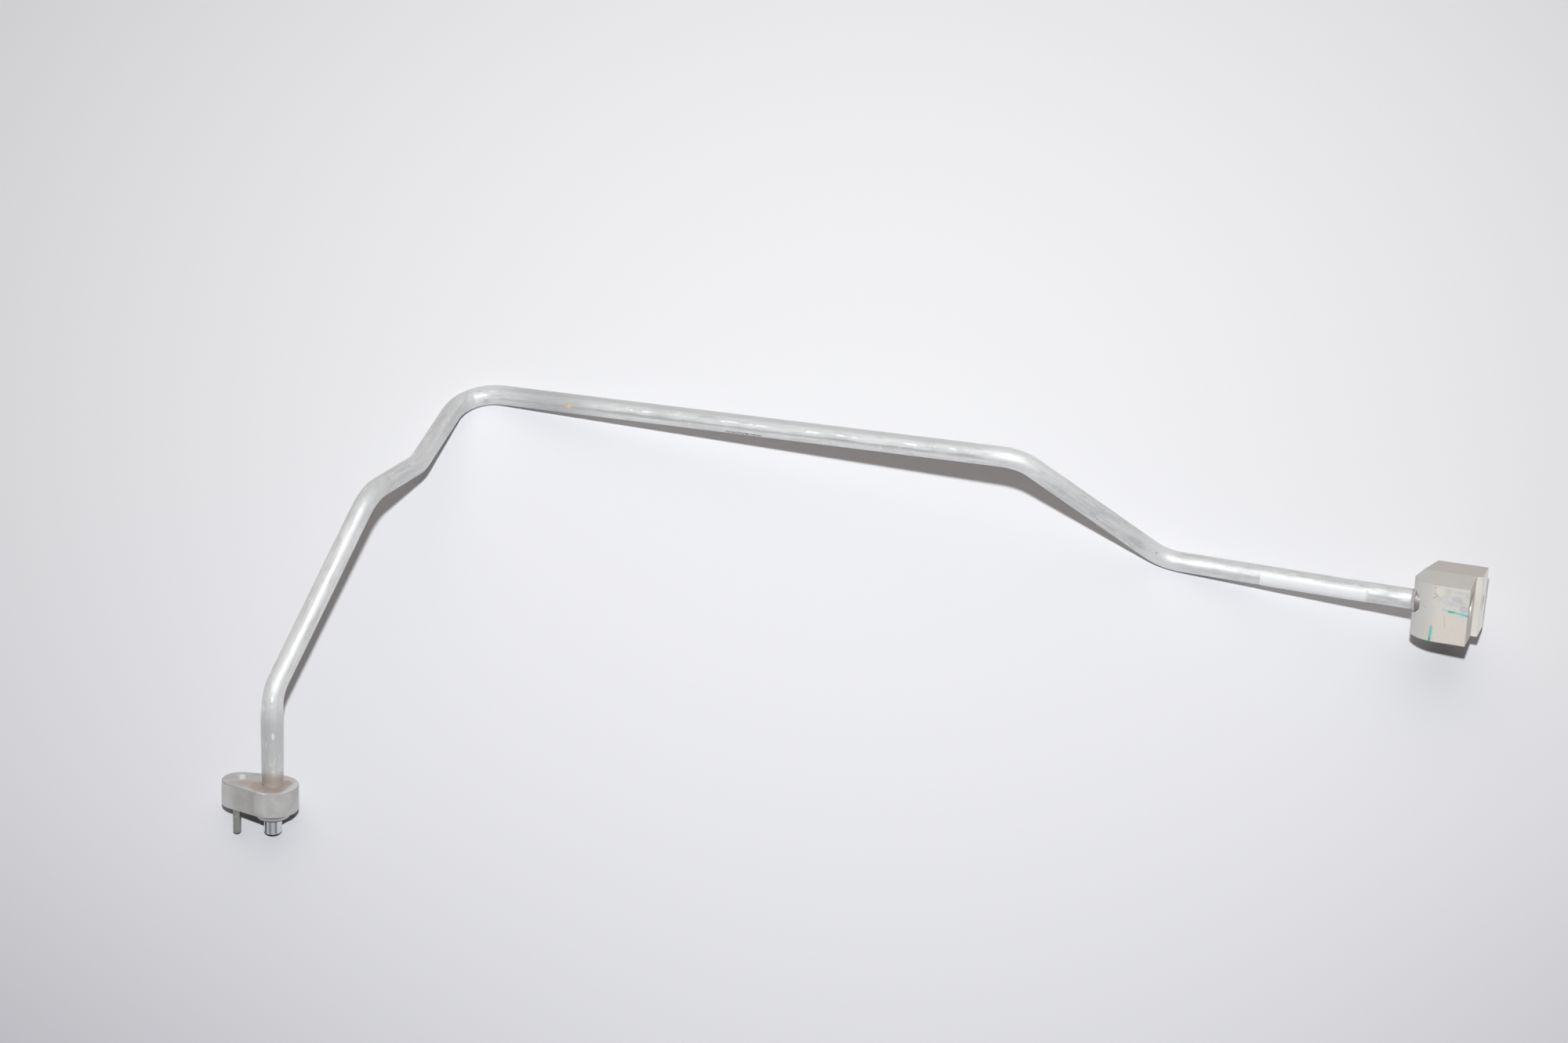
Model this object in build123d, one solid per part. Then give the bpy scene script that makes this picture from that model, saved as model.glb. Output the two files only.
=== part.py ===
from build123d import *
import math
import os

os.makedirs("parts", exist_ok=True)

# Tube, in millimetres like every length here
tube_diameter = 10.0
tube_wall = 1.2
bend_radius = 20.0        # centre line of the six tight bends, all made on one former
easy_radius = 200.0       # the slight bend beside the end block

# Corners of the tube's centre line, as the pipe lies on a table at Z = 0
flange_seat = Vector(-244.3, -152.0, 10.35)   # where the axis leaves the flange's underside
corner_flange = Vector(-240.5, -107.0, 48.4)
corner_knee_low = Vector(-198.7, -11.5, 63.3)
corner_knee_high = Vector(-182.0, 20.4, 29.1)
corner_shoulder = Vector(-164.3, 75.0, 1.8)
corner_drop = Vector(114.6, 5.2, 60.3)
corner_rest = Vector(190.2, -23.9, 3.5)
corner_easy = Vector(273.5, -49.0, 24.0)
block_entry = Vector(304.5, -59.0, 34.0)      # where the axis meets the block's left wall

# Bead and nose, formed on the tube's own end below the flange
bead_diameter = 16.0
bead_height = 3.8
bead_round = 1.2
nose_diameter = 8.5
nose_length = 8.1
nose_round = 1.2
nose_bore = 5.6

# Flange: a big lobe round the tube and a small one for the bolt
flange_thickness = 12.7
flange_turn = -163.6      # degrees from the X direction, seen along the tube
big_lobe_radius = 12.1
small_lobe_radius = 8.45
lobe_distance = 17.4
flange_edge_round = 0.7
bolt_hole_diameter = 6.8
bolt_hole_offset = (0.5, 1.7)     # from the small lobe's centre
flange_fit = 0.02         # radial gap between the tube and the flange

# Locating pin, pressed into the flange's underside
pin_diameter = 3.8
pin_shank_diameter = 4.4  # the part inside the flange
pin_reach = 12.4          # how far it stands out
pin_seat_depth = 9.0
pin_offset = (-1.4, -5.5)         # from the small lobe's centre
pin_tip_round = 0.9

# End block: across is depth behind the front wall, up is along the block's height
block_turn = -52.2        # degrees round the tube from the Y direction to the block's depth
front_to_axis = 9.2
block_depth = 34.5
lip_depth = 16.8
entry_to_port_face = 26.4
lip_rise = 3.1
block_below_axis = 17.2
top_back = 13.4           # height of the top end over the axis at the back wall
top_step = 13.1           # and where the lip begins
top_front = 11.5          # and at the front wall
nose_corner_back = 7.6    # rounded left wall: how far its corner lies behind the front
nose_corner_out = 0.9     # and how far beyond the entry point
nose_run = 13.0           # length of the round stretch along the tube
slant_set_back = 6.3      # how much the slanted left wall falls back by the rear
block_edge_round = 0.35

# Holes of the end block
entry_recess_gap = 1.5    # radial, round the tube
entry_recess_depth = 3.0
socket_depth = 14.0
port_diameter = 14.0
port_depth = 7.0
port_lead_in = 1.0
thread_core_diameter = 6.8
thread_depth = 18.0
thread_lead_in = 0.9
drill_point_angle = 120.0
thread_up = -2.0          # the hole's place over the tube's axis
block_fit = 0.02

# Braze metal that fills the entry recess and stands a little out of it
braze_width = 1.1
braze_height = 3.6
braze_lip = 1.0           # how much higher it stands at the tube than at its rim
braze_round = 0.5

# Paper label round the lower front of the tube
label_before_easy = 40.5
label_after_easy = 12.5
label_thickness = 0.12
label_from = 16.0         # degrees from the top of the tube, towards the front
label_to = 186.0


def square_plane(origin, direction, reference, turn):
    """A plane square to a direction, its X axis turned about it from a reference."""
    level = (reference - direction * reference.dot(direction)).normalized()
    about = Axis((0, 0, 0), direction)
    return Plane(origin=origin, x_dir=level.rotate(about, turn), z_dir=direction)


flange_axis = (flange_seat - corner_flange).normalized()
flange_plane = square_plane(flange_seat, flange_axis, Vector(1, 0, 0), flange_turn)
bolt_hole_spot = (lobe_distance + bolt_hole_offset[0], bolt_hole_offset[1])
pin_spot = (lobe_distance + pin_offset[0], pin_offset[1])

# The block's X runs into its depth, Y up its height and Z along the tube
block_axis = (block_entry - corner_easy).normalized()
block_plane = square_plane(block_entry, block_axis, Vector(0, 1, 0), block_turn)


def turned(plane, spot, outline, rounds):
    """Spin an outline of (radius, height) points about an upright through a spot of the plane."""
    edge = FilletPolyline(*outline, radius=rounds, close=True)
    solid = revolve(Plane.XZ * make_face(edge), Axis.Z)
    return plane.location * Pos(spot[0], spot[1], 0) * solid


def drilled(plane, spot, radius, depth, top=0.0):
    """A round hole that runs from a plane, against its Z axis."""
    centre = Pos(spot[0], spot[1], top - depth / 2)
    return plane.location * centre * Cylinder(radius, depth)


def make_centre_line():
    tube_end = block_entry + block_axis * socket_depth
    corners = [
        flange_seat, corner_flange, corner_knee_low, corner_knee_high, corner_shoulder,
        corner_drop, corner_rest, corner_easy, tube_end,
    ]
    radii = [bend_radius] * 6 + [easy_radius]
    return FilletPolyline(*corners, radius=radii)


def make_end_form():
    """The bead and nose that the flange's end of the tube is formed into."""
    bead = bead_diameter / 2
    nose = nose_diameter / 2
    tip = bead_height + nose_length
    outline = [(0, 0), (bead, 0), (bead, bead_height), (nose, bead_height), (nose, tip), (0, tip)]
    return turned(flange_plane, (0, 0), outline, [0, 0, bead_round, 0, nose_round, 0])


def make_pipe(centre_line):
    tube_radius = tube_diameter / 2
    start = Plane(origin=centre_line @ 0, z_dir=centre_line % 0)
    outside = sweep(start * Circle(tube_radius), path=centre_line)
    inside = sweep(start * Circle(tube_radius - tube_wall), path=centre_line)
    tip = bead_height + nose_length
    nose_hole = drilled(flange_plane, (0, 0), nose_bore / 2, tip + bead_height, tip)
    return outside + make_end_form() - inside - nose_hole


def make_flange():
    big = Circle(big_lobe_radius)
    small = Pos(lobe_distance, 0) * Circle(small_lobe_radius)
    outline = make_hull(big.edges() + small.edges())
    body = extrude(outline, amount=flange_thickness, dir=(0, 0, -1))
    body = fillet(body.faces().sort_by(Axis.Z)[0].edges(), flange_edge_round)
    body = fillet(body.faces().sort_by(Axis.Z)[-1].edges(), flange_edge_round)
    body = flange_plane.location * body
    body -= drilled(flange_plane, (0, 0), tube_diameter / 2 + flange_fit, flange_thickness)
    body -= drilled(flange_plane, bolt_hole_spot, bolt_hole_diameter / 2, flange_thickness)
    return body - drilled(flange_plane, pin_spot, pin_shank_diameter / 2, pin_seat_depth)


def make_pin():
    shank = pin_shank_diameter / 2
    radius = pin_diameter / 2
    outline = [
        (0, -pin_seat_depth), (shank, -pin_seat_depth), (shank, 0), (radius, 0),
        (radius, pin_reach), (0, pin_reach),
    ]
    return turned(flange_plane, pin_spot, outline, [0, 0, 0, 0, pin_tip_round, 0])


def make_block():
    back = block_depth - front_to_axis
    step = back - lip_depth
    corner = (nose_corner_back - front_to_axis, -nose_corner_out)
    front_start = (-front_to_axis, nose_run - nose_corner_out)
    lip_face = entry_to_port_face + lip_rise
    top = max(top_back, top_step, top_front)
    worn = block_edge_round
    nose = TangentArc(front_start, corner, tangent=(0, -1))
    walls = FilletPolyline(
        corner, (back, slant_set_back - nose_corner_out), (back, lip_face), (step, lip_face),
        (step, entry_to_port_face), (-front_to_axis, entry_to_port_face), front_start,
        radius=[worn, worn, worn, 0, worn],
    )
    plan = Plane.XZ * make_face(nose + walls)
    past = block_edge_round + 1
    rear_rise = past * (top_back - top_step) / lip_depth
    front_drop = past * (top_step - top_front) / (step + front_to_axis)
    sawn = make_face(Polyline(
        (-front_to_axis - past, -block_below_axis), (back + past, -block_below_axis),
        (back + past, top_back + rear_rise), (step, top_step),
        (-front_to_axis - past, top_front - front_drop),
        (-front_to_axis - past, -block_below_axis),
    ))
    bar = extrude(plan, amount=block_below_axis + top, both=True)
    body = bar & extrude(sawn, amount=2 * lip_face, both=True)
    body = fillet(body.faces().sort_by(Axis.Y)[0].edges(), worn)
    body = block_plane.location * body
    tube_hole = tube_diameter / 2 + block_fit
    body -= drilled(block_plane, (0, 0), tube_hole, block_depth, socket_depth)
    recess = tube_diameter / 2 + entry_recess_gap
    body -= drilled(block_plane, (0, 0), recess, block_depth, entry_recess_depth)
    body -= drilled(block_plane, (0, 0), tube_diameter / 2 - tube_wall, entry_to_port_face,
                    entry_to_port_face)
    return body - make_port() - make_thread_core(lip_face, step + lip_depth / 2)


def make_port():
    """Bore with a lead-in chamfer, cut from the port face."""
    radius = port_diameter / 2
    floor = entry_to_port_face - port_depth
    outline = [
        (0, floor), (radius, floor), (radius, entry_to_port_face - port_lead_in),
        (radius + port_lead_in, entry_to_port_face), (0, entry_to_port_face),
    ]
    return turned(block_plane, (0, 0), outline, [0] * len(outline))


def make_thread_core(face, across):
    """Blind hole for a bolt in the lip, with its lead-in and the drill's cone."""
    radius = thread_core_diameter / 2
    floor = face - thread_depth
    point = radius / math.tan(math.radians(drill_point_angle / 2))
    outline = [
        (0, floor - point), (radius, floor),
        (radius, face - thread_lead_in), (radius + thread_lead_in, face), (0, face),
    ]
    return turned(block_plane, (across, thread_up), outline, [0] * len(outline))


def make_braze():
    """The ring of filler metal between the tube and the end block."""
    inner = tube_diameter / 2 + block_fit
    outer = inner + braze_width
    top = entry_recess_depth - braze_height
    outline = [
        (inner, entry_recess_depth), (outer, entry_recess_depth), (outer, top + braze_lip),
        (inner, top),
    ]
    return turned(block_plane, (0, 0), outline, [0, 0, braze_round, 0])


def make_label():
    """A strip of paper that follows the tube through its slight bend."""
    run_in = (corner_easy - corner_rest).normalized()
    start = corner_easy - run_in * label_before_easy
    path = FilletPolyline(
        start, corner_easy, corner_easy + block_axis * label_after_easy, radius=easy_radius,
    )
    wrap = label_to - label_from
    inside = CenterArc((0, 0), tube_diameter / 2, label_from, wrap)
    outside = CenterArc((0, 0), tube_diameter / 2 + label_thickness, label_from, wrap)
    ends = [Line(inside @ 0, outside @ 0), Line(inside @ 1, outside @ 1)]
    strip = make_face([inside, outside] + ends)
    # Its X axis points up from the run and its Y axis to the front
    across = square_plane(start, run_in, Vector(0, 0, 1), 0)
    return sweep(across * strip, path=path)


centre_line = make_centre_line()
pieces = {
    "pipe": make_pipe(centre_line),
    "flange": make_flange(),
    "locating_pin": make_pin(),
    "end_block": make_block(),
    "braze_ring": make_braze(),
    "label": make_label(),
}

# The origin goes to the middle of the whole pipe's base
box = Compound(list(pieces.values())).bounding_box()
to_origin = Pos(-box.center().X, -box.center().Y, -box.min.Z)
for name, piece in pieces.items():
    export_step(to_origin * piece, "parts/" + name + ".step")
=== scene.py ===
import math

import bpy
from mathutils import Matrix, Vector

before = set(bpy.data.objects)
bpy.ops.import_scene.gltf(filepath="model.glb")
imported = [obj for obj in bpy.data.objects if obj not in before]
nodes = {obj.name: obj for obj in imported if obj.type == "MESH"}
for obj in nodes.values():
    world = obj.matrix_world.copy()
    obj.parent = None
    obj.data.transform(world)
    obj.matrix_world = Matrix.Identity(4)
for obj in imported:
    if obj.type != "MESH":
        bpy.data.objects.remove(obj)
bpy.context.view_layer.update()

scene = bpy.context.scene
bpy.ops.object.select_all(action="DESELECT")


# shader sums: a wrapped socket takes + - * ** and > <, and adds the maths nodes itself
class Wire:
    def __init__(self, tree, socket):
        self.tree, self.socket = tree, socket
        self.isVector = socket.type == "VECTOR"

    def sum(self, how, first, second):
        kind = "ShaderNodeVectorMath" if self.isVector else "ShaderNodeMath"
        return addNode(self.tree, kind, {"operation": how}, {0: first, 1: second})

    def __add__(self, other):
        return self.sum("ADD", self, other)

    def __radd__(self, other):
        return self.sum("ADD", other, self)

    def __sub__(self, other):
        return self.sum("SUBTRACT", self, other)

    def __rsub__(self, other):
        return self.sum("SUBTRACT", other, self)

    def __mul__(self, other):
        return self.sum("MULTIPLY", self, other)

    def __rmul__(self, other):
        return self.sum("MULTIPLY", other, self)

    def __pow__(self, other):
        return self.sum("POWER", self, other)

    def __gt__(self, other):
        return self.sum("GREATER_THAN", self, other)

    def __lt__(self, other):
        return self.sum("LESS_THAN", self, other)


# any other node: its type, its settings, its sockets' values or wires, and which output is wanted
def addNode(tree, kind, settings=None, sockets=None, out=0):
    node = tree.nodes.new(kind)
    for name, value in (settings or {}).items():
        setattr(node, name, value)
    for name, value in (sockets or {}).items():
        if isinstance(value, Wire):
            tree.links.new(value.socket, node.inputs[name])
        else:
            node.inputs[name].default_value = value
    return Wire(tree, node.outputs[out])


def newMaterial(name):
    material = bpy.data.materials.new(name)
    material.use_nodes = True
    material.node_tree.nodes.clear()
    return material, material.node_tree


def finishMaterial(tree, shader, kind="ShaderNodeOutputMaterial"):
    output = tree.nodes.new(kind)
    tree.links.new(shader.socket, output.inputs["Surface"])


def dress(piece, material):
    piece.data.materials.clear()
    piece.data.materials.append(material)


# a piece's finished surface, from the values and wires of its shader
def coat(piece, material, sockets):
    tree = material.node_tree
    finishMaterial(tree, addNode(tree, "ShaderNodeBsdfPrincipled", {}, sockets))
    dress(piece, material)


def place(tree):
    return addNode(tree, "ShaderNodeTexCoord", out="Object")


def isRay(tree, kind):
    return addNode(tree, "ShaderNodeLightPath", out=kind)


def split(point):
    first = addNode(point.tree, "ShaderNodeSeparateXYZ", {}, {"Vector": point})
    return [Wire(point.tree, output) for output in first.socket.node.outputs]


def vectorMaths(how, sockets, out=0):
    return addNode(sockets[0].tree, "ShaderNodeVectorMath", {"operation": how}, sockets, out)


def stretch(point, scale):
    return vectorMaths("MULTIPLY", {0: point, 1: scale})


def dot(point, direction):
    return vectorMaths("DOT_PRODUCT", {0: point, 1: direction}, "Value")


def length(point):
    return vectorMaths("LENGTH", {0: point}, "Value")


def noise(point, scale, detail, roughness=0.5, lean=0.0):
    return addNode(point.tree, "ShaderNodeTexNoise", {}, {
        "Vector": point, "Scale": scale, "Detail": detail, "Roughness": roughness,
        "Distortion": lean})


# a pattern with its own number of waves in each direction
def stretched(point, waves, detail, roughness=0.5, lean=0.0):
    return noise(stretch(point, waves), 1.0, detail, roughness, lean)


def ramp(value, low, high, toLow=0.0, toHigh=1.0):
    return addNode(value.tree, "ShaderNodeMapRange", {"interpolation_type": "SMOOTHSTEP"}, {
        "Value": value, "From Min": low, "From Max": high, "To Min": toLow, "To Max": toHigh})


def greater(first, second):
    return first.sum("MAXIMUM", first, second)


# full between two bounds, with soft ends
def band(value, low, high, soft):
    return ramp(value, low - soft, low + soft) * ramp(value, high + soft, high - soft)


# from the first colour to the second, which go to the node's sockets 6 and 7
def tint(factor, first, second):
    first, second = (c if isinstance(c, Wire) else (*c, 1.0) for c in (first, second))
    return addNode(factor.tree, "ShaderNodeMix", {"data_type": "RGBA"},
                   {0: factor, 6: first, 7: second}, out=2)


def bump(height, strength, distance, below=None):
    sockets = {"Height": height, "Strength": strength, "Distance": distance}
    if below:
        sockets["Normal"] = below
    return addNode(height.tree, "ShaderNodeBump", {}, sockets)


# a soft spot of a pattern: full inside the size, fading past its rim
def spot(point, centre, size, rim=0.4):
    away = length(stretch(point - centre, tuple(1.0 / s for s in size)))
    return ramp(away, 1.0 + rim, 1.0 - rim)


# a drawn stroke or scratch between two places, with a soft rim
def stroke(point, start, end, width):
    rim = 0.35
    way = Vector(end) - Vector(start)
    along = addNode(point.tree, "ShaderNodeMath", {"operation": "MULTIPLY", "use_clamp": True}, {
        0: dot(point - start, tuple(way / way.length_squared)), 1: 1.0})
    foot = addNode(point.tree, "ShaderNodeVectorMath", {"operation": "SCALE"}, {
        0: tuple(way), "Scale": along})
    away = length(point - start - foot)
    return ramp(away, width * (0.5 + rim), width * (0.5 - rim))


# millimetres from a fitting's own corner, along its own three directions
def inFitting(point, fitting):
    perMetre = 1000.0
    axes = Matrix((fitting["across"], fitting["up"], fitting["outward"]))
    return addNode(point.tree, "ShaderNodeMapping", {"vector_type": "POINT"}, {
        "Vector": point, "Scale": [perMetre] * 3, "Rotation": axes.to_euler(),
        "Location": axes @ Vector(fitting["place"]) * -perMetre})


print("stage: camera, lamp and floor")
view = {
    "place": (-0.03639, -0.44045, 1.08767),
    "tilt": 24.0,          # degrees from straight down
    "roll": -0.484,
    "lens": 54.0,
    "sensor": 36.0,
    "nearest": 0.01,       # closer things aren't seen
}
cameraData = bpy.data.cameras.new("camera")
cameraData.lens = view["lens"]
cameraData.sensor_width = view["sensor"]
cameraData.clip_start = view["nearest"]
camera = bpy.data.objects.new("camera", cameraData)
scene.collection.objects.link(camera)
camera.matrix_world = (
    Matrix.Translation(view["place"])
    @ Matrix.Rotation(math.radians(view["tilt"]), 4, "X")
    @ Matrix.Rotation(math.radians(view["roll"]), 4, "Z")
)
scene.camera = camera
scene.view_settings.view_transform = "Standard"

light = {
    "place": (-0.0307, -0.2717, 1.1604),
    "aim": (0.06, 0.65, 0.0),
    "size": 0.045,
    "power": 13.1,
    "colour": (0.965, 0.983, 1.0),
}
lampData = bpy.data.lights.new("lamp", "AREA")
lampData.shape = "DISK"
lampData.size = light["size"]
lampData.energy = light["power"]
lampData.color = light["colour"]
lamp = bpy.data.objects.new("lamp", lampData)
scene.collection.objects.link(lamp)
lampAim = Vector(light["aim"]) - Vector(light["place"])
lampTurn = lampAim.to_track_quat("-Z", "Y").to_matrix().to_4x4()
lamp.matrix_world = Matrix.Translation(light["place"]) @ lampTurn

room = {
    "warmColour": (1.0, 0.935, 0.88),      # what it gives to matt surfaces
    "coolColour": (0.985, 0.99, 1.0),      # what the metal mirrors and the camera sees
    "seen": 0.92,          # how bright it looks past the table
    "fill": 0.85,          # how much light the ceiling gives to matt surfaces
    "wallFill": 0.01,      # and the walls
    "ceiling": (0.65, 1.0),
    "ceilingLean": (0.64, 0.77),           # the way to the lit ceiling: backward and up
    "ahead": 0.60,         # how bright it is in the metal, to the front
    "behind": 0.75,        # and to the back
    "turn": (-0.35, 0.7),  # between those two
    "low": 0.11,           # how much darker its front wall is
    "lowHeight": (0.7, 0.1),
    "lowFront": (0.0, -0.7),
    "right": 0.17,         # and how much brighter its right wall
    "rightFrom": (0.55, 0.85),
}
world = bpy.data.worlds.new("room")
world.use_nodes = True
scene.world = world
tree = world.node_tree
tree.nodes.clear()
toRight, toBack, toTop = split(addNode(tree, "ShaderNodeTexCoord", out="Generated"))
mirrored = (ramp(toBack, *room["turn"], room["ahead"], room["behind"])
            - ramp(toTop, *room["lowHeight"]) * ramp(toBack, *room["lowFront"]) * room["low"]
            + ramp(toRight, *room["rightFrom"]) * room["right"])
isCamera = isRay(tree, "Is Camera Ray")
isGlossy = isRay(tree, "Is Glossy Ray")
isThrough = isRay(tree, "Is Transmission Ray")
backLean, upLean = room["ceilingLean"]
fill = ramp(toTop * upLean + toBack * backLean, *room["ceiling"], room["wallFill"], room["fill"])
strength = fill + isGlossy * (mirrored - fill) + (isCamera + isThrough) * (room["seen"] - fill)
background = addNode(tree, "ShaderNodeBackground", {}, {
    "Color": tint(isGlossy + isCamera, room["warmColour"], room["coolColour"]),
    "Strength": strength})
finishMaterial(tree, background, "ShaderNodeOutputWorld")

table = {
    "size": 4.0,
    "colour": (0.968, 0.970, 0.990),
    # the colour the painted light falloff darkens it to
    "edgeColour": (0.55, 0.552, 0.595),
    "roughness": 0.85,
    "shine": 0.2,
    "grain": 900.0,
    "middle": (0.11, 0.48),
    "lightFalloff": (0.60, 1.16),  # how fast the painted light falloff darkens it sideways and lengthwise
    "fadeSoftness": 0.6,
    "cornerMiddle": 0.03,
    "corners": (-0.08, -0.36),             # the front corners darken more
    "cornerFade": 2.6,
    "farColour": (0.77, 0.775, 0.79),      # of its far parts, past the lamp's light, where it glows with a painted tone
    "farMiddle": (-0.036, 0.13, 0.0),
    "farScale": (2.0, 3.1, 0.0),
    "far": (1.25, 2.2),
}
bpy.ops.mesh.primitive_plane_add(size=table["size"], location=(0, 0, 0))
floor = bpy.context.object
floor.name = "table"
material, tree = newMaterial("tableTop")
point = place(tree)
sideways, lengthwise = split(point)[:2]
# a painted light falloff: the floor darkens away from the lamp's pool of light
lightFalloff = ((sideways - table["middle"][0]) ** 2.0 * table["lightFalloff"][0]
        + (lengthwise - table["middle"][1]) ** 2.0 * table["lightFalloff"][1]
        + (sideways - table["cornerMiddle"]) ** 2.0 * ramp(lengthwise, *table["corners"])
        * table["cornerFade"])
lightFalloff = addNode(tree, "ShaderNodeMath", {"operation": "SMOOTH_MIN"}, {
    0: lightFalloff, 1: 1.0, 2: table["fadeSoftness"]})
near = addNode(tree, "ShaderNodeBsdfPrincipled", {}, {
    "Base Color": tint(lightFalloff, table["colour"], table["edgeColour"]),
    "Roughness": table["roughness"], "Specular IOR Level": table["shine"],
    "Normal": bump(noise(point, table["grain"], 3.0), 0.05, 0.0002)})
# past the lamp's light the floor glows with a painted tone, for camera, mirror and see-through
# rays
isSeen = (isRay(tree, "Is Camera Ray") + isRay(tree, "Is Glossy Ray")
          + isRay(tree, "Is Transmission Ray"))
away = ramp(length(stretch(point - table["farMiddle"], table["farScale"])), *table["far"])
glowingFarFloor = addNode(tree, "ShaderNodeEmission", {}, {"Color": (*table["farColour"], 1.0)})
whole = addNode(tree, "ShaderNodeMixShader", {}, {0: away * isSeen, 1: near, 2: glowingFarFloor})
finishMaterial(tree, whole)
dress(floor, material)


print("stage: the tube")
tube = {
    "route": (             # its corners, from the flange to the end block
        (-0.280692, -0.108221, 0.010427), (-0.276892, -0.063221, 0.048477),
        (-0.235092, 0.032279, 0.063377), (-0.218392, 0.064179, 0.029177),
        (-0.200692, 0.118779, 0.001877), (0.078208, 0.048979, 0.060377),
        (0.153808, 0.019879, 0.003577), (0.237108, -0.005221, 0.024077),
        (0.268108, -0.015221, 0.034077),
    ),
    "colour": (0.735, 0.735, 0.733),
    "dullColour": (0.60, 0.60, 0.60),
    "shadeColour": (0.47, 0.47, 0.48),
    "chalkColour": (0.93, 0.93, 0.92),
    "highlightColour": (0.96, 0.96, 0.965),
    "scratchColour": (0.10, 0.095, 0.09),
    "yellowColour": (0.80, 0.70, 0.46),
    "footColour": (0.42, 0.36, 0.32),
    "formedColour": (0.60, 0.60, 0.60),
    "polishedColour": (0.71, 0.725, 0.75),
    "beadShadeColour": (0.13, 0.115, 0.11),
    "turnedColour": (0.10, 0.105, 0.115),
    "fluxColour": (0.42, 0.385, 0.37),
    "roughness": 0.50,     # of the fine drawn lines
    "mattRoughness": 0.93,                 # and of the metal between them
    "formedRoughness": 0.41,
    "polishedRoughness": 0.11,
    # patterns: their waves a metre along and across the tube, detail, roughness and lean
    "fine": ((40.0, 2600.0, 2600.0), 3.0, 0.6),
    "streaks": ((26.0, 420.0, 420.0), 3.0, 0.6),
    "smears": ((70.0, 300.0, 300.0), 4.0, 0.65, 0.5),
    "drawnLines": ((9000.0, 32000.0, 32000.0), 1.0),
    "ripples": ((62.0, 70.0, 70.0), 0.0),  # left by the straightening rollers
    # the pattern that breaks the painted highlight dashes into pieces
    "rubbed": ((124.0, 150.0, 150.0), 2.0, 0.6),
    "nicks": ((230.0, 700.0, 700.0), 2.0, 0.6),
    "mottle": ((130.0, 300.0, 300.0), 2.0, 0.5, 0.3),
    "patches": (55.0, 3.0, 0.6),
    # places along the tube, in metres: first the six tight bends' middles
    "bends": (0.0591, 0.1644, 0.2141, 0.2777, 0.5711, 0.6700),
    "bendReach": 0.010,
    "bendSoftness": 0.006,
    # then stretches: from, to and how soft their ends are
    "knee": (0.150, 0.268, 0.012),
    "handled": (0.310, 0.345, 0.018),      # the duller one past the shoulder bend
    "longRun": (0.302, 0.556, 0.010),
    # the drop stretch, painted darker as shade
    "drop": (0.592, 0.652, 0.008),
    # and where others fade in or out
    "besideFlange": (0.056, 0.042),
    "footEnd": (0.014, 0.032, 0.3, 1.0),   # with how dull it is before and past there
    "besideBlock": (0.670, 0.690),
    "dashStart": (0.345, 0.365),
    # lines on the long run: which way they are counted, and metres from its crest
    "downward": (0.0, 0.420, -0.908),
    "waver": 0.0018,
    # its upper side, painted darker as shade
    "shadedUpperSide": (-0.0016, -0.0036),
    "highlightDashes": (-0.0008, -0.0002, 0.0004),  # painted highlight dashes on its crest
    "shade": (0.0013, 0.0024, 0.0006),     # and a painted shade line under them
    # single marks, in the part's own metres: from, to and width, or middle and size
    "scuff": ((-0.0650, 0.0796, 0.0307), (-0.0478, 0.0754, 0.0343), 0.0016),
    "scratch": ((0.1455, 0.0215, 0.0100), (0.1527, 0.0171, 0.0150), 0.0006),
    "dents": (
        ((-0.2763, -0.0682, 0.0504), (0.0009, 0.0022, 0.0009)),
        ((-0.2771, -0.0821, 0.0389), (0.0007, 0.0030, 0.0012)),
    ),
    "yellow": ((-0.1453, 0.1014, 0.0173), (0.0032, 0.0013, 0.0013), 0.6),
    # marks at its two ends, in the fittings' millimetres
    "foot": (-18.6, -11.0, 2.6),
    "footFront": (4.5, -1.0),
    "formed": -0.5,        # where the bead begins
    "polished": 3.6,       # and the nose
    # painted shade where the bead meets the flange, and under the bead
    "beadShade": ((-1.0, 2.0, 0.2), (2.9, 5.3, 0.35)),
    "turned": ((1.2, 2.4, 0.3), (-1.2, -0.1, 0.3), (-3.4, -2.7, 0.25)),    # painted dark reflection bands on the nose
    "flux": (-1.4, 3.0, 0.3),
    # the flux is a real stain, painted fainter towards its lower side as painted light against the
    # shade there
    "fluxHeight": (-4.0, 1.5, 0.35, 1.1),
    # how much each of these covers the metal
    "amounts": {
        "chalk": 0.45, "shadedUpperSide": 0.7, "shade": 0.6, "handled": 0.3, "highlightDashes": 0.55,
        "scratches": 0.75, "yellow": 0.8, "dents": 0.5, "foot": 0.9, "formed": 0.8,
        "beadShade": 0.85, "turned": 0.95,
    },
}
# where the two fittings begin and how they are turned
fittings = {
    "flange": {
        "place": tube["route"][0],
        "across": (-0.957326, 0.229440, -0.175741),    # from the tube to the bolt hole
        "up": (0.281756, 0.605532, -0.744274),
        "outward": (-0.064349, -0.762029, -0.644338),
    },
    "block": {
        "place": tube["route"][-1],
        "across": (0.413771, 0.585917, -0.696774),     # from the front wall to the back
        "up": (0.032535, 0.755360, 0.654502),
        "outward": (0.909799, -0.293484, 0.293484),
    },
}


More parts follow.
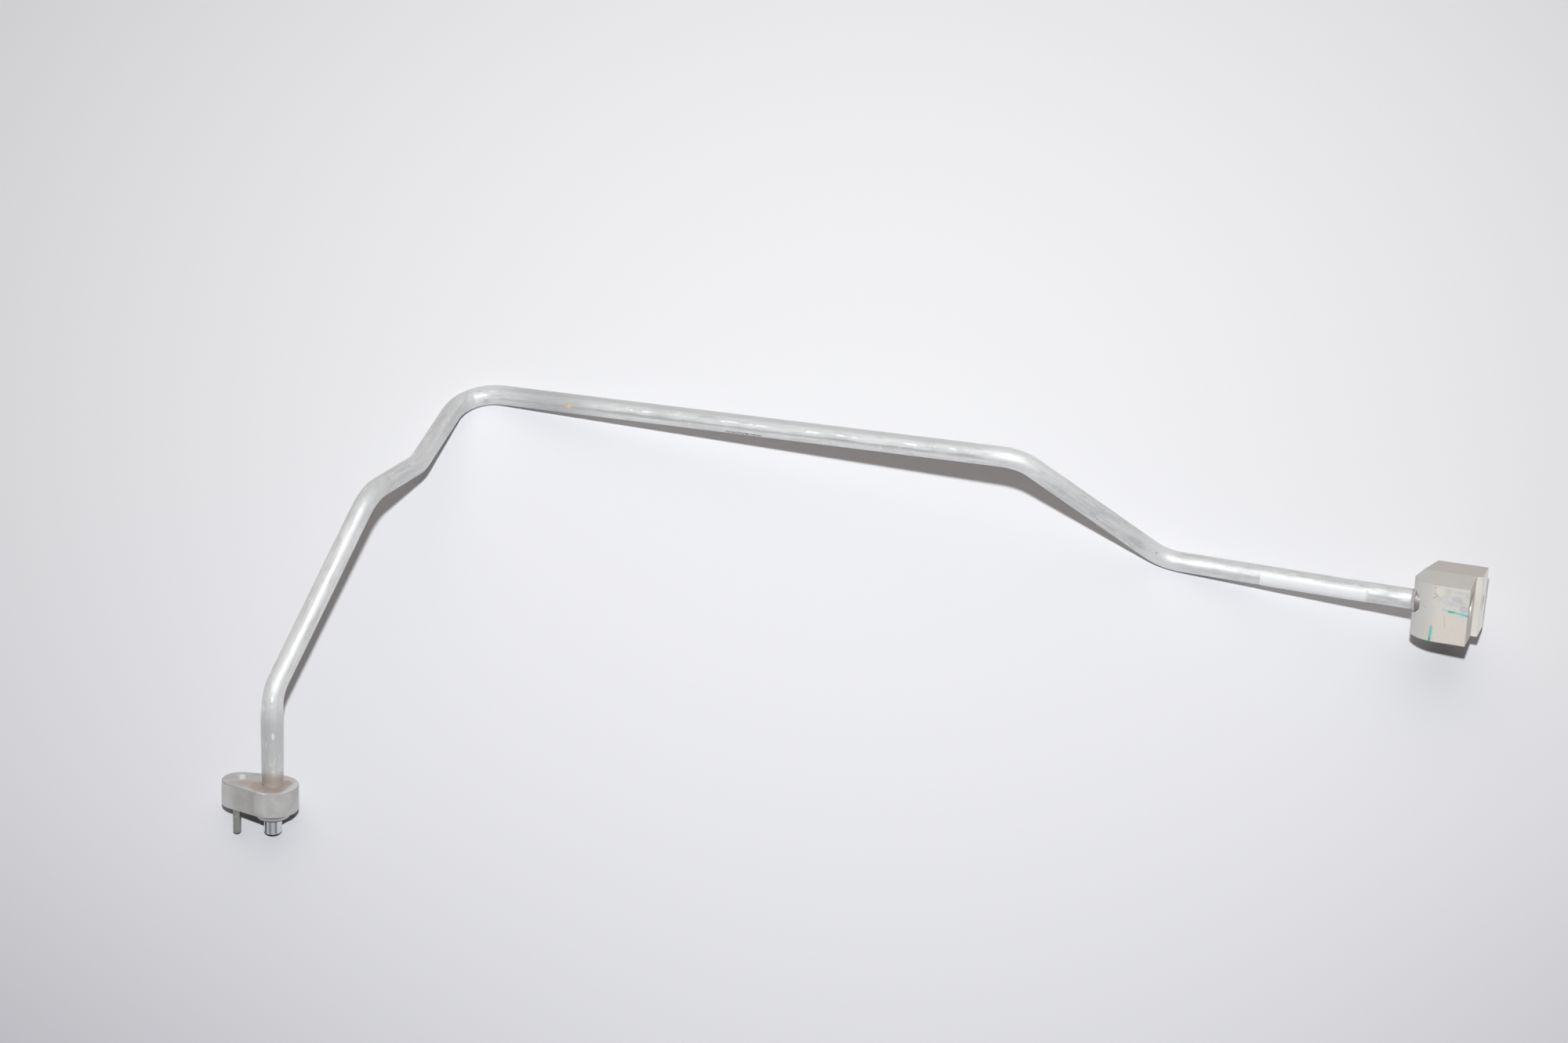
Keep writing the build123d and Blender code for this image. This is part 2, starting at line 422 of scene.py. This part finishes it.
# lengthwise and crosswise places on the tube, carried round each bend without a twist
def alongRoute(point, route):
    corners = [Vector(corner) for corner in route]
    direction = (corners[1] - corners[0]).normalized()
    side = direction.cross(Vector((1, 0, 0))).normalized()
    travelled = 0.0
    result = None
    for start, end in zip(corners, corners[1:]):
        heading = (end - start).normalized()
        side = (direction.rotation_difference(heading) @ side).normalized()
        axes = Matrix((heading, side, heading.cross(side)))
        run = addNode(point.tree, "ShaderNodeMapping", {"vector_type": "POINT"}, {
            "Vector": point, "Rotation": axes.to_euler(),
            "Location": Vector((travelled, 0, 0)) - axes @ start})
        if result is None:
            result = run
        else:
            past = dot(point - tuple(start), tuple((direction + heading).normalized())) > 0.0
            # its vector inputs are sockets 4 and 5
            result = addNode(point.tree, "ShaderNodeMix", {"data_type": "VECTOR"},
                             {0: past, 4: result, 5: run}, out=1)
        travelled += (end - start).length
        direction = heading
    return result


material, tree = newMaterial("drawnAluminium")
point = place(tree)
onTube = alongRoute(point, tube["route"])
amounts = tube["amounts"]
fine = stretched(onTube, *tube["fine"])
streaks = stretched(onTube, *tube["streaks"])
smears = stretched(onTube, *tube["smears"])
drawnLines = stretched(onTube, *tube["drawnLines"])
ripples = stretched(onTube, *tube["ripples"])
rubbed = stretched(onTube, *tube["rubbed"])
nicks = stretched(onTube, *tube["nicks"])
patches = noise(onTube, *tube["patches"])
mottle = stretched(onTube, *tube["mottle"])

# how dull the metal is, by its stretches
along = split(onTube)[0]
handled = band(along, *tube["handled"])
bent = 0.0
for middle in tube["bends"]:
    first, last = middle - tube["bendReach"], middle + tube["bendReach"]
    bent = greater(band(along, first, last, tube["bendSoftness"]), bent)
dull = (ramp(streaks, 0.44, 0.62) * 0.35
        + ramp(smears, 0.48, 0.62) * ramp(patches, 0.36, 0.56) * 0.6)
dull = dull * (1.0 - bent * 0.6) + handled * 0.9
dull = dull + ramp(along, *tube["besideFlange"]) * ramp(along, *tube["footEnd"]) * 0.9
dull = dull + band(along, *tube["knee"]) * 0.5
longRun = band(along, *tube["longRun"])
besideBlock = ramp(along, *tube["besideBlock"])
mottle = ramp(mottle, 0.40, 0.62) * besideBlock
# mottled beside the block, and the drop stretch painted darker as shade
dull = dull * (1.0 - longRun * 0.35) + mottle * 0.35 + band(along, *tube["drop"]) * 0.4

# a painted highlight and a painted shade line along the long run, and chalky nicks
below = dot(onTube, tube["downward"]) + (smears - 0.5) * tube["waver"]
# painted highlight dashes along the crest of the long run
highlightDashes = (ramp(rubbed, 0.50, 0.62) * band(below, *tube["highlightDashes"]) * longRun
          * ramp(along, *tube["dashStart"]))
shade = band(below, *tube["shade"]) * longRun * ramp(patches, 0.3, 0.5, 0.5, 1.0)
# the long run's upper side, painted darker as shade
shadedUpperSide = ramp(below, *tube["shadedUpperSide"]) * longRun
chalk = ramp(nicks, 0.60, 0.68) * ramp(patches, 0.40, 0.58)
colour = tint(dull, tube["colour"], tube["dullColour"])
colour = tint(chalk * amounts["chalk"], colour, tube["chalkColour"])
colour = tint(shadedUpperSide * amounts["shadedUpperSide"], colour, tube["dullColour"])
# the painted shade line and the duller handled stretch both take the shade colour
shade = greater(shade * amounts["shade"], handled * amounts["handled"])
colour = tint(shade, colour, tube["shadeColour"])
colour = tint(highlightDashes * amounts["highlightDashes"], colour, tube["highlightColour"])

# single marks
scuff = stroke(point, *tube["scuff"])
scuff = scuff * ramp(noise(point, 1300.0, 2.0, 0.7), 0.42, 0.56)
scratch = stroke(point, *tube["scratch"])
dents = spot(point, *tube["dents"][0])
dents = greater(dents, spot(point, *tube["dents"][1]))
colour = tint(greater(scuff, scratch) * amounts["scratches"], colour, tube["scratchColour"])
yellow = spot(point, *tube["yellow"])
yellow = yellow * ramp(noise(point, 300.0, 2.0, 0.6), 0.30, 0.50)
colour = tint(yellow * amounts["yellow"], colour, tube["yellowColour"])
colour = tint(dents * amounts["dents"], colour, tube["chalkColour"])

# the stained foot over the flange, and the bead and nose under it
onEnd = inFitting(point, fittings["flange"])
endAcross, endUp, endOut = split(onEnd)
foot = band(endOut, *tube["foot"]) * ramp(endUp, *tube["footFront"])
colour = tint(foot * amounts["foot"], colour, tube["footColour"])
formed = endOut > tube["formed"]
polished = endOut > tube["polished"]
colour = tint(formed * amounts["formed"], colour, tube["formedColour"])
colour = tint(polished, colour, tube["polishedColour"])
# painted shade where the bead meets the flange, and under it on the nose
beadShade = greater(band(endOut, *tube["beadShade"][0]), band(endOut, *tube["beadShade"][1])) * formed
colour = tint(beadShade * amounts["beadShade"], colour, tube["beadShadeColour"])
# painted dark reflection bands down the polished nose
darkest, darker, dark = tube["turned"]
turned = greater(band(endAcross, *darkest), band(endAcross, *darker) * 0.55)
turned = greater(turned, band(endAcross, *dark) * 0.6) * polished
colour = tint(turned * amounts["turned"], colour, tube["turnedColour"])

# flux left beside the braze ring
onBlock = inFitting(point, fittings["block"])
jointUp, joint = split(onBlock)[1:]
flux = band(joint, *tube["flux"])
lumps = ramp(noise(onBlock, 1.3, 3.0, 0.7), 0.3, 0.55)
# the flux stain, painted fainter towards its lower side as painted light
fluxed = flux * (0.60 + lumps * 0.3) * ramp(jointUp, *tube["fluxHeight"])
colour = tint(fluxed, colour, tube["fluxColour"])

# fine smooth lines in matt metal, denser where the tube shines more
smooth = greater(
    ramp(drawnLines, 0.53, 0.59) * (1.0 - longRun * 0.9),
    ramp(drawnLines, 0.47, 0.53) * greater(besideBlock, bent * 0.7))
roughness = (smooth * (tube["roughness"] - tube["mattRoughness"]) + tube["mattRoughness"]
             + (streaks - 0.5) * 0.2 + (smears - 0.5) * 0.15 - highlightDashes * 0.15
             + chalk * 0.2 + yellow * 0.2 + scuff * 0.3 + flux * 0.2 + mottle * 0.08)
roughness = roughness + (tube["formedRoughness"] - roughness) * formed
roughness = roughness + (tube["polishedRoughness"] - roughness) * polished
normal = bump(ripples * (1.0 - bent), 1.0, 0.0006)
normal = bump(smears, 0.25, 0.0004, normal)
normal = bump(mottle, 0.08, 0.00012, normal)
normal = bump(fine, 0.12, 0.00006, normal)
normal = bump(greater(scuff, dents), 0.5, 0.0004, normal)
coat(nodes["pipe"], material, {
    "Base Color": colour,
    "Metallic": 1.0 - greater(greater(yellow, foot), flux) * 0.7,
    "Roughness": roughness,
    "Normal": normal})


print("stage: flange and pin")
flange = {
    "colour": (0.58, 0.572, 0.555),
    "darkColour": (0.48, 0.47, 0.455),
    "topColour": (0.72, 0.71, 0.695),
    "stainColour": (0.46, 0.37, 0.315),
    "rubbedColour": (0.78, 0.775, 0.765),
    "sheenColour": (0.74, 0.735, 0.72),
    "litHoleColour": (0.70, 0.69, 0.675),
    "seatShadeColour": (0.20, 0.18, 0.17),
    "glintColour": (1.0, 1.0, 1.0),
    "metallic": 0.75,
    "roughness": 0.56,
    # places, in its own millimetres: across, upward and outward
    "top": (-11.9, -12.4),
    "topFade": (15.0, 6.0, 0.1, 0.5),
    "paleEnd": (13.0, 20.0),
    "darkWaist": (0.0, 7.0, 2.0),
    # its top rim, painted darker as shade except at its front
    "rim": ((-12.68, -12.5), (-11.7, -12.1)),
    "rimGap": (-2.2, 2.2, 0.8),
    "stains": (            # round the tube's foot: middle, size and rim
        ((0.5, -4.2, -12.7), (9.6, 6.6, 3.0), 0.2),
        ((-4.4, -0.8, -12.7), (4.8, 7.6, 3.0), 0.16),
        ((9.5, -4.0, -12.7), (6.5, 3.4, 3.0), 0.5),
    ),
    "rubbedEnd": (-7.2, -9.6),
    "frontAcross": (-2.4, 3.6, 1.3),       # a painted sheen where its round front wall faces the lamp
    "frontUpward": (-8.5, -11.0),
    "frontOutward": (-11.5, -2.0, 1.5),
    # the bolt hole, painted lighter inside as painted light, and a painted glint on its far wall
    "hole": (17.9, 1.7, 0.0),
    "holeRadius": 3.5,
    "glint": ((18.3, 4.9, -10.8), (1.6, 1.6, 1.8), 0.5),
    "seat": -0.3,          # its underside, painted dark as shade
    "amounts": {
        "blotches": 0.75, "grain": 0.25, "paleEnd": 0.7, "darkWaist": 0.7, "stain": 0.95,
        "rubbed": 0.7, "front": 0.45, "rim": 0.75, "hole": 0.9, "seat": 0.8,
    },
}
material, tree = newMaterial("dulledAluminium")
point = place(tree)
amounts = flange["amounts"]
onFlange = inFitting(point, fittings["flange"])
across, upward, outward = split(onFlange)
grain = noise(onFlange, 1.9, 4.0, 0.65)
brushed = stretched(onFlange, (0.5, 0.5, 2.6), 3.0, 0.6)
blotches = ramp(noise(onFlange, 0.16, 3.0, 0.6, 0.6), 0.34, 0.70)
colour = tint(blotches * amounts["blotches"], flange["colour"], flange["darkColour"])
colour = tint(ramp(grain, 0.5, 0.75) * amounts["grain"], colour, flange["darkColour"])
onTop = ramp(outward, *flange["top"])
colour = tint(onTop * ramp(across, *flange["topFade"]), colour, flange["topColour"])
paleEnd = ramp(across, *flange["paleEnd"]) * (1.0 - onTop)
colour = tint(paleEnd * amounts["paleEnd"], colour, flange["topColour"])
darkWaist = band(across, *flange["darkWaist"]) * (1.0 - onTop)
colour = tint(darkWaist * amounts["darkWaist"], colour, flange["darkColour"])
stain = spot(onFlange, *flange["stains"][0])
stain = greater(stain, spot(onFlange, *flange["stains"][1]))
stain = greater(stain, spot(onFlange, *flange["stains"][2]) * 0.7)
stain = stain * (0.75 + ramp(noise(onFlange, 0.35, 4.0, 0.65), 0.35, 0.6) * 0.25)
colour = tint(stain * onTop * amounts["stain"], colour, flange["stainColour"])
rubbedEnd = ramp(across, *flange["rubbedEnd"]) * onTop
colour = tint(rubbedEnd * amounts["rubbed"], colour, flange["rubbedColour"])
# a painted sheen down the front of the round wall
front = (band(across, *flange["frontAcross"]) * ramp(upward, *flange["frontUpward"])
         * band(outward, *flange["frontOutward"]))
colour = tint(front * amounts["front"], colour, flange["sheenColour"])
# the top rim painted darker, a painted shade, with a gap at its front
rim = ramp(outward, *flange["rim"][0]) * ramp(outward, *flange["rim"][1])
rim = rim * (1.0 - band(across, *flange["rimGap"]))
colour = tint(rim * amounts["rim"], colour, flange["darkColour"])
# the hole painted lighter inside as painted light, with a painted glint on its far wall
fromHole = stretch(onFlange - flange["hole"], (1.0, 1.0, 0.0))
inHole = length(fromHole) < flange["holeRadius"]
glint = spot(onFlange, *flange["glint"]) * inHole
colour = tint(inHole * amounts["hole"], colour, flange["litHoleColour"])
# its underside painted dark, a painted shade
onSeat = outward > flange["seat"]
colour = tint(onSeat * amounts["seat"], colour, flange["seatShadeColour"])
colour = tint(glint, colour, flange["glintColour"])
roughness = (flange["roughness"] + (grain - 0.5) * 0.3 + rim * 0.30 - inHole * 0.22
             - glint * 0.1)
coat(nodes["flange"], material, {
    "Base Color": colour,
    "Metallic": (flange["metallic"] - stain * onTop * 0.4) * (1.0 - inHole * 0.6),
    "Roughness": roughness,
    "Normal": bump(grain, 0.2, 0.00012, bump(brushed, 0.08, 0.0001))})

pin = {
    "colour": (0.30, 0.30, 0.28),
    "paleColour": (0.40, 0.40, 0.37),
    "cutGlintColour": (0.66, 0.66, 0.63),
    "roughness": 0.40,
    "glintingCuts": (14.6, 16.6, 0.5),             # their place, in the flange's millimetres: a strip down its middle, where they glint
}
material, tree = newMaterial("groundSteel")
point = place(tree)
onPin = inFitting(point, fittings["flange"])
grain = noise(stretch(onPin, (1.0, 1.0, 0.7)), 1.3, 4.0, 0.7)
# bright cuts, partly real marks and partly a painted glint down the pin's middle
glintingCuts = ramp(noise(stretch(onPin, (1.0, 1.0, 0.5)), 1.3, 3.0, 0.7, 1.0), 0.57, 0.64)
glintingCuts = glintingCuts * band(split(onPin)[0], *pin["glintingCuts"])
colour = tint(ramp(grain, 0.35, 0.7), pin["colour"], pin["paleColour"])
coat(nodes["locating_pin"], material, {
    "Base Color": tint(glintingCuts * 0.8, colour, pin["cutGlintColour"]),
    "Metallic": 1.0,
    "Roughness": pin["roughness"] + (grain - 0.5) * 0.3 - glintingCuts * 0.12,
    "Normal": bump(greater(grain, glintingCuts), 0.5, 0.0002)})


print("stage: end block")
block = {
    "colour": (0.70, 0.665, 0.605),
    "coolColour": (0.655, 0.65, 0.63),
    "warmColour": (0.73, 0.665, 0.59),
    "darkColour": (0.53, 0.505, 0.475),
    "lowEndShadeColour": (0.22, 0.20, 0.19),
    "rearShadeColour": (0.50, 0.46, 0.435),
    "lipColour": (0.88, 0.865, 0.84),
    "stripColour": (0.80, 0.775, 0.725),
    "edgeColour": (0.84, 0.825, 0.80),
    "boreShadeColour": (0.40, 0.37, 0.345),
    "litColour": (0.97, 0.965, 0.95),
    "pitColour": (0.36, 0.345, 0.33),
    "smearColour": (0.53, 0.535, 0.555),
    "stainColour": (0.82, 0.76, 0.60),
    "speckColour": (0.16, 0.15, 0.15),
    "paintColour": (0.09, 0.58, 0.48),
    "deepPaintColour": (0.03, 0.16, 0.13),
    "metallic": 0.55,
    "roughness": 0.60,
    # where its walls lie and their finishes begin, in its own millimetres across
    "front": -9.2,
    "frontDepth": 0.4,
    "step": 8.5,           # between the port face and the lip
    "stripHalf": 0.4,
    # upward
    # its top end, painted darker as shade, and its low end, painted dark as shade
    "endWall": (10.8, 11.6),
    "lowEnd": (-16.7, -17.0),
    "warmUpward": (-1.5, -5.5),
    "litUpward": (-5.6, 2.2, 1.0),
    # and outward
    "coolOutward": (9.0, 5.0),
    "warmOutward": (9.5, 13.0),
    "frontEdge": (25.4, 26.1),
    "portFace": 26.2,
    "stripFrom": 26.6,
    "lipFace": 29.2,
    "boreRadii": (6.3, 8.2, 0.1),
    "boreLength": (19.0, 26.38),
    "litRadius": 7.12,
    # wiped smears on the front wall: upward and outward, size and amount
    "smears": (
        ((8.8, 15.3), (1.5, 3.0), 0.6), ((8.4, 25.2), (1.8, 0.9), 0.6),
        ((4.9, 19.6), (2.6, 5.2), 0.85), ((5.6, 13.6), (1.8, 2.6), 0.6),
        ((1.6, 24.0), (2.0, 2.2), 0.9), ((9.2, 20.6), (0.8, 3.4), 0.5),
    ),
    "stain": ((8.3, 12.8), (2.2, 1.9)),
    "specks": ((10.1, 10.2), (7.0, 10.5), (5.2, 10.1), (6.2, 11.1), (-0.4, 4.7), (-0.6, 6.0)),
    "speckSize": (2.2, 0.30, 0.60),
    "thinLine": ((-3.0, 15.4), (-8.8, 16.2), 0.3),
    # two painted lines, the first with its stops and how strong each part is
    "paintStops": ((0.0, 14.4), (-0.7, 17.4), (-0.8, 19.9), (-1.25, 23.6), (-1.64, 26.0)),
    "paintAmounts": (0.45, 1.0, 0.7, 0.95),
    "lowerLine": ((-9.2, 9.9), (-17.0, 9.5), 1.35),
    "lowerFade": (-7.8, -10.5, 0.35, 1.0),
    "deepSpots": (((-16.0, 9.6), (1.4, 0.35)), ((-0.75, 18.6), (0.22, 1.7))),
    "amounts": {
        "clouds": 0.7, "cool": 0.7, "warm": 0.75, "grain": 0.3, "endWall": 0.28, "lowEnd": 0.7,
        "shadedRearEnd": 0.45, "lip": 0.6, "portFace": 0.5, "edge": 0.25, "bore": 0.35, "pits": 0.4,
        "stain": 0.6, "specks": 0.6, "thinLine": 0.3, "paint": 0.88, "deepPaint": 0.7,
    },
}


# a place on the front wall, from how far it is upward and outward
def onWall(spotPlace):
    return (block["front"], *spotPlace)


def wallSpot(point, centre, size, rim):
    return spot(point, onWall(centre), (1.0, *size), rim)


def wallStroke(point, start, end, width):
    return stroke(point, onWall(start), onWall(end), width)


material, tree = newMaterial("sawnAluminium")
point = place(tree)
amounts = block["amounts"]
onBlock = inFitting(point, fittings["block"])
across, upward, outward = split(onBlock)
grain = noise(onBlock, 1.9, 4.0, 0.65)
lines = stretched(onBlock, (0.4, 0.12, 1.6), 3.0, 0.6)
clouds = noise(onBlock, 0.13, 3.0, 0.6, 0.5)
onFront = across < block["front"] + block["frontDepth"]
lower = (ramp(upward, *block["warmUpward"]) * ramp(outward, *block["warmOutward"])
         * ramp(clouds, 0.3, 0.55))

# the bare metal
cloudy = ramp(clouds, 0.36, 0.66)
colour = tint(cloudy * amounts["clouds"], block["colour"], block["coolColour"])
cool = ramp(outward, *block["coolOutward"])
colour = tint(cool * amounts["cool"], colour, block["coolColour"])
colour = tint(onFront * lower * amounts["warm"], colour, block["warmColour"])
colour = tint(ramp(grain, 0.52, 0.75) * amounts["grain"], colour, block["darkColour"])

# its two sawn ends painted darker as shade, the lip's end painted lighter, port face, a painted
# highlight on the edge, and the bore's painted shade and light
onEndWall = ramp(upward, *block["endWall"])
stripStart, stripEnd = block["step"] - block["stripHalf"], block["step"] + block["stripHalf"]
# the rear part of the top end, painted darker still as shade
shadedRearEnd = onEndWall * ramp(across, stripStart, stripEnd + 0.1)
onLowEnd = ramp(upward, *block["lowEnd"])
# both ends painted darker, a painted shade
shadedEnds = greater(onEndWall * amounts["endWall"], onLowEnd)
colour = tint(shadedEnds, colour, block["darkColour"])
colour = tint(onLowEnd * amounts["lowEnd"], colour, block["lowEndShadeColour"])
colour = tint(shadedRearEnd * amounts["shadedRearEnd"], colour, block["rearShadeColour"])
# the lip's end painted lighter as painted light from the right, with a smoother finish
lipEnd = (outward > block["lipFace"]) * (across > stripEnd)
colour = tint(lipEnd * amounts["lip"], colour, block["lipColour"])
portFace = (outward > block["portFace"]) * (across < stripStart - 0.2)
colour = tint(portFace * amounts["portFace"], colour, block["darkColour"])
lipStrip = band(across, stripStart, stripEnd, 0.2) * (outward > block["stripFrom"])
colour = tint(lipStrip * (0.4 + lines * 0.7), colour, block["stripColour"])
# a painted highlight along the front wall's edge
edge = onFront * ramp(outward, *block["frontEdge"])
colour = tint(edge * amounts["edge"], colour, block["edgeColour"])
radius = length(stretch(onBlock, (1.0, 1.0, 0.0)))
boreFrom, boreTo = block["boreLength"]
# the bore painted dark as shade, with a painted lit part on its wall
bore = band(radius, *block["boreRadii"]) * (outward > boreFrom) * (outward < boreTo)
boreLit = bore * band(upward, *block["litUpward"]) * (radius < block["litRadius"])
colour = tint(bore * amounts["bore"], colour, block["boreShadeColour"])
colour = tint(boreLit, colour, block["litColour"])

# pits, smears, a stain and specks
pits = ramp(noise(onBlock, 1.2, 3.0, 0.8), 0.62, 0.68) * ramp(clouds, 0.42, 0.58)
colour = tint(pits * onFront * amounts["pits"], colour, block["pitColour"])
broken = noise(onBlock, 1.1, 3.0, 0.7)
wiped = noise(stretch(onBlock, (1.0, 1.0, 0.6)), 0.42, 3.0, 0.55, 0.6)
smear = 0.0
for centre, size, amount in block["smears"]:
    smear = greater(wallSpot(onBlock, centre, size, 0.5) * amount, smear)
colour = tint(smear * ramp(wiped, 0.27, 0.55), colour, block["smearColour"])
stain = wallSpot(onBlock, *block["stain"], 0.6) * ramp(wiped, 0.25, 0.5)
colour = tint(stain * amounts["stain"], colour, block["stainColour"])
specks = 0.0
for centre in block["specks"]:
    specks = greater(spot(onBlock, onWall(centre), block["speckSize"], 0.7), specks)
specks = specks * ramp(broken, 0.44, 0.56) * amounts["specks"]
thinLine = wallStroke(onBlock, *block["thinLine"]) * amounts["thinLine"]
colour = tint(greater(specks, thinLine), colour, block["speckColour"])

# paint marks
paint = 0.0
stops = block["paintStops"]
for start, end, amount in zip(stops, stops[1:], block["paintAmounts"]):
    run = wallStroke(onBlock, start, end, 0.55 + amount * 0.6)
    paint = greater(run * amount, paint)
run = wallStroke(onBlock, *block["lowerLine"])
paint = greater(run * ramp(upward, *block["lowerFade"]), paint)
paint = paint * ramp(broken, 0.22, 0.45, 0.35, 1.0) * onFront
lowSpot, highSpot = block["deepSpots"]
deep = greater(wallSpot(onBlock, *lowSpot, 0.5), wallSpot(onBlock, *highSpot, 0.5))
colour = tint(paint * amounts["paint"], colour, block["paintColour"])
colour = tint(deep * paint * amounts["deepPaint"], colour, block["deepPaintColour"])

# paint marks and the bore's painted lit part are less metallic
paintAndLitBore = greater(paint, boreLit * 0.5) * 0.9
coat(nodes["end_block"], material, {
    "Base Color": colour,
    "Metallic": block["metallic"] * (1.0 - paintAndLitBore) + lipEnd * 0.33,
    "Roughness": (block["roughness"] + (grain - 0.5) * 0.25 + (lines - 0.5) * 0.1 - edge * 0.15
                  - boreLit * 0.3 - lipEnd * 0.28),
    "Normal": bump(grain, 0.18, 0.00012, bump(lines, 0.10, 0.00015))})


print("stage: braze ring")
braze = {
    "colour": (0.86, 0.81, 0.79),
    "darkColour": (0.64, 0.60, 0.58),
    "rimShadeColour": (0.16, 0.145, 0.14),
    # painted shade at its outer and inner rims, in the gaps to the recess wall and the tube
    "outerRim": (5.75, 6.05),              # from the tube's axis, in millimetres
    "innerRim": (5.20, 5.05),
    "metallic": 0.6,
    "roughness": 0.46,
}
material, tree = newMaterial("setBraze")
point = place(tree)
onBlock = inFitting(point, fittings["block"])
lumps = noise(point, 700.0, 3.0, 0.6)
radius = length(stretch(onBlock, (1.0, 1.0, 0.0)))
# painted shade in the gaps at its two rims
rims = greater(ramp(radius, *braze["outerRim"]), ramp(radius, *braze["innerRim"]))
colour = tint(ramp(lumps, 0.35, 0.65), braze["colour"], braze["darkColour"])
coat(nodes["braze_ring"], material, {
    "Base Color": tint(rims * 0.8, colour, braze["rimShadeColour"]),
    "Metallic": braze["metallic"],
    "Roughness": braze["roughness"] + (lumps - 0.5) * 0.3,
    "Normal": bump(lumps, 0.5, 0.0003)})


print("stage: label")
label = {
    "colour": (0.95, 0.95, 0.96),
    "wornColour": (0.91, 0.91, 0.92),
    "tornColour": (0.66, 0.63, 0.60),
    "torn": (-23.3, -22.1),                # its end near the block, in that fitting's millimetres
    "tornDepth": 3.0,
    "roughness": 0.42,
}
material, tree = newMaterial("barePaper")
point = place(tree)
outward = split(inFitting(point, fittings["block"]))[2]
fibres = noise(point, 2400.0, 4.0, 0.7)
creases = noise(point, 160.0, 2.0, 0.5, 0.5)
ragged = (noise(point, 900.0, 3.0, 0.7) - 0.5) * label["tornDepth"]
colour = tint(ramp(fibres, 0.3, 0.7), label["colour"], label["wornColour"])
coat(nodes["label"], material, {
    "Base Color": tint(ramp(outward + ragged, *label["torn"]) * 0.75, colour, label["tornColour"]),
    "Roughness": label["roughness"] + (fibres - 0.5) * 0.2,
    "Normal": bump(fibres, 0.1, 0.00005, bump(creases, 0.15, 0.0004))})
